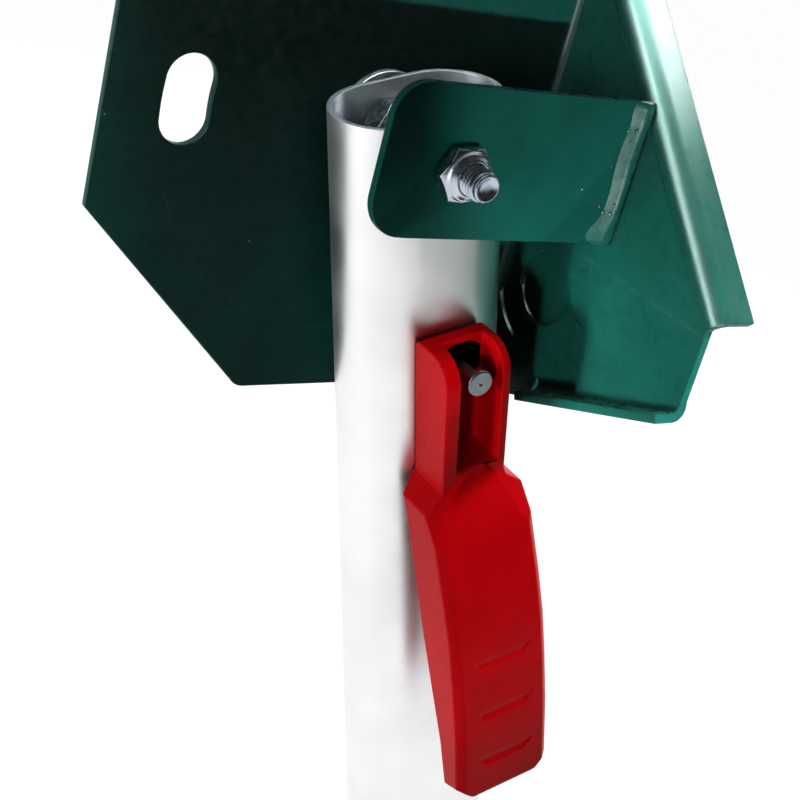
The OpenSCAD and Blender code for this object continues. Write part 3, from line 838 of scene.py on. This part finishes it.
studio = {  # lengths in m
    "floorGap": 0.0005,  # under the leg's lower end
    "floorSize": 8.0,
    "floorShow": 0.98,  # what the floor shows by itself, the lamps add the rest
    "floorColour": (0.10, 0.10, 0.10, 1.0),
    "fill": 0.02,  # plain light from all round
    "front": 0.03,  # how bright the studio's front half is in reflections
    "frontFrom": 0.65,  # in front of the object, where the floor starts to darken in reflections
    "frontTo": 1.1,
    "skyBlend": 0.2,  # how softly the sky goes over from its dark front half to the bright one
}

deselectAll()
floorHeight = cadBox[0][2] - studio["floorGap"]
bpy.ops.mesh.primitive_plane_add(size=studio["floorSize"], location=(0, 0, floorHeight))
floor = bpy.context.object
floor.name = "studioFloor"


def seenDirectly(tree, mirrorShare):  # 1 for the camera and through glass, mirrorShare in reflections
    rays = tree.nodes.new("ShaderNodeLightPath")
    straight = sums(tree, "MAXIMUM", rays.outputs["Is Camera Ray"], rays.outputs["Is Transmission Ray"])
    mirrored = sums(tree, "MULTIPLY", rays.outputs["Is Glossy Ray"], mirrorShare)
    return sums(tree, "MAXIMUM", straight, mirrored)


def makeFloor():
    material, tree, shader = newFinish("paleFloor", Roughness=0.9, Specular_IOR_Level=0.0)
    shader.inputs["Base Color"].default_value = studio["floorColour"]
    shader.inputs["Emission Color"].default_value = (1, 1, 1, 1)
    axes = tree.nodes.new("ShaderNodeSeparateXYZ")
    tree.links.new(placeOn(tree), axes.inputs["Vector"])
    back = remap(tree, axes.outputs["Y"], -studio["frontTo"], -studio["frontFrom"], studio["front"], 1.0)
    seen = seenDirectly(tree, back)
    tree.links.new(sums(tree, "MULTIPLY", seen, studio["floorShow"]), shader.inputs["Emission Strength"])
    return material


paint(floor, makeFloor())


def makeWorld():
    world = bpy.data.worlds.new("paleStudio")
    bpy.context.scene.world = world
    world.use_nodes = True
    tree = world.node_tree
    sky = tree.nodes["Background"]
    sky.inputs["Color"].default_value = (1, 1, 1, 1)
    where = tree.nodes.new("ShaderNodeTexCoord")
    axes = tree.nodes.new("ShaderNodeSeparateXYZ")
    tree.links.new(where.outputs["Generated"], axes.inputs["Vector"])
    back = remap(tree, axes.outputs["Y"], -studio["skyBlend"], studio["skyBlend"], studio["front"], 1.0)
    seen = seenDirectly(tree, back)
    level = sums(tree, "MAXIMUM", seen, studio["fill"])
    tree.links.new(level, sky.inputs["Strength"])


makeWorld()

# A lamp for "all" gives plain and mirrored light, one for "colour" gives no mirrored light. One for
# "sheet" or "beads" gives mirrored light alone, on the folded sheet or on the weld beads.
lamps = [
    # name, kind, place, aim, power, what it lights, then size of an area or (cone, blend, radius) of a spot
    ("leftSoftbox", "AREA", (-0.75, -0.045, -0.20), (0.0, -0.045, -0.10), 2.6, "all", (0.12, 0.7)),
    ("wallSpot", "SPOT", (-0.55, -0.18, -0.16), (0.064, -0.052, -0.105), 8.5, "colour", (11.0, 0.5, 0.05)),
    ("lugSpot", "SPOT", (0.075, -0.60, -0.16), (0.072, -0.041, -0.030), 7.0, "colour", (14.6, 0.25, 0.01)),
    ("padSpot", "SPOT", (-0.36, -0.42, -0.15), (0.064, -0.022, -0.100), 12.0, "colour", (6.0, 0.6, 0.04)),
    ("leverSpot", "SPOT", (0.46, -0.34, 0.30), (0.0, -0.062, -0.185), 21.0, "colour", (15.0, 0.45, 0.04)),
    ("handleSpot", "SPOT", (-0.55, -0.22, -0.22), (0.0, -0.065, -0.200), 13.0, "colour", (8.0, 0.5, 0.04)),
    ("foldedSpot", "SPOT", (-0.20, -0.60, 0.20), (-0.19, -0.05, -0.06), 16.0, "colour", (19.0, 0.4, 0.05)),
    ("backSoftbox", "AREA", (-0.10, 0.90, 0.15), (0.0, 0.0, -0.08), 9.0, "colour", (0.7, 0.7)),
    ("sideSoftbox", "AREA", (0.80, 0.40, 0.10), (0.06, 0.0, -0.06), 7.0, "colour", (0.5, 0.5)),
    ("foldStrip", "AREA", (0.060, -0.045, 0.10), (0.060, -0.035, -0.02), 10.0, "sheet", (0.30, 0.07)),
    ("foldCard", "AREA", (-0.35, -0.06, 0.19), (0.066, -0.02, -0.01), 28.0, "sheet", (0.14, 0.42)),
    ("rimCard", "AREA", (-0.30, -0.60, 0.10), (0.064, -0.02, -0.10), 60.0, "sheet", (0.4, 0.4)),
    ("beadCard", "AREA", (-0.12, -0.475, -0.15), (0.064, -0.041, -0.054), 7.5, "beads", (0.2, 0.2)),
]
shineOn = {"sheet": [plate], "beads": beads}
for name, kind, place, aim, power, lights, size in lamps:
    light = bpy.data.lights.new(name, kind)
    light.energy = power
    if kind == "AREA":
        light.shape = "RECTANGLE"
        light.size, light.size_y = size
    else:
        light.spot_size = math.radians(size[0])
        light.spot_blend = size[1]
        light.shadow_soft_size = size[2]
    lamp = bpy.data.objects.new(name, light)
    bpy.context.scene.collection.objects.link(lamp)
    lamp.location = place
    lamp.rotation_euler = (Vector(aim) - Vector(place)).to_track_quat("-Z", "Y").to_euler()
    lamp.visible_camera = False
    lamp.visible_glossy = lights != "colour"
    if lights in shineOn:
        lamp.visible_diffuse = False
        group = bpy.data.collections.new(name)
        for piece in shineOn[lights]:
            group.objects.link(piece)
        lamp.light_linking.receiver_collection = group

shot = {
    "place": (-0.204633, -0.312732, 0.041356),  # m
    "right": (0.825229, -0.511163, 0.240226),
    "up": (0.038561, 0.475331, 0.878962),
    "ahead": (0.563480, 0.716082, -0.411968),
    "lens": 68.143,  # mm
    "sensor": 36.0,  # mm
    "shift": 0.00625,  # share of the render's width
    "nearest": 0.01,  # m
}
camera = bpy.data.objects.new("studioCamera", bpy.data.cameras.new("studioCamera"))
bpy.context.scene.collection.objects.link(camera)
camera.data.lens = shot["lens"]
camera.data.sensor_width = shot["sensor"]
camera.data.shift_x = shot["shift"]
camera.data.clip_start = shot["nearest"]
columns = [Vector(shot["right"]), Vector(shot["up"]), -Vector(shot["ahead"])]
turn = Matrix(columns).transposed().to_4x4()
camera.matrix_world = Matrix.Translation(shot["place"]) @ turn
bpy.context.scene.camera = camera
bpy.context.scene.view_settings.view_transform = "Standard"
bpy.context.scene.cycles.caustics_reflective = False  # the tube throws no light back on the plate
print("studio done")
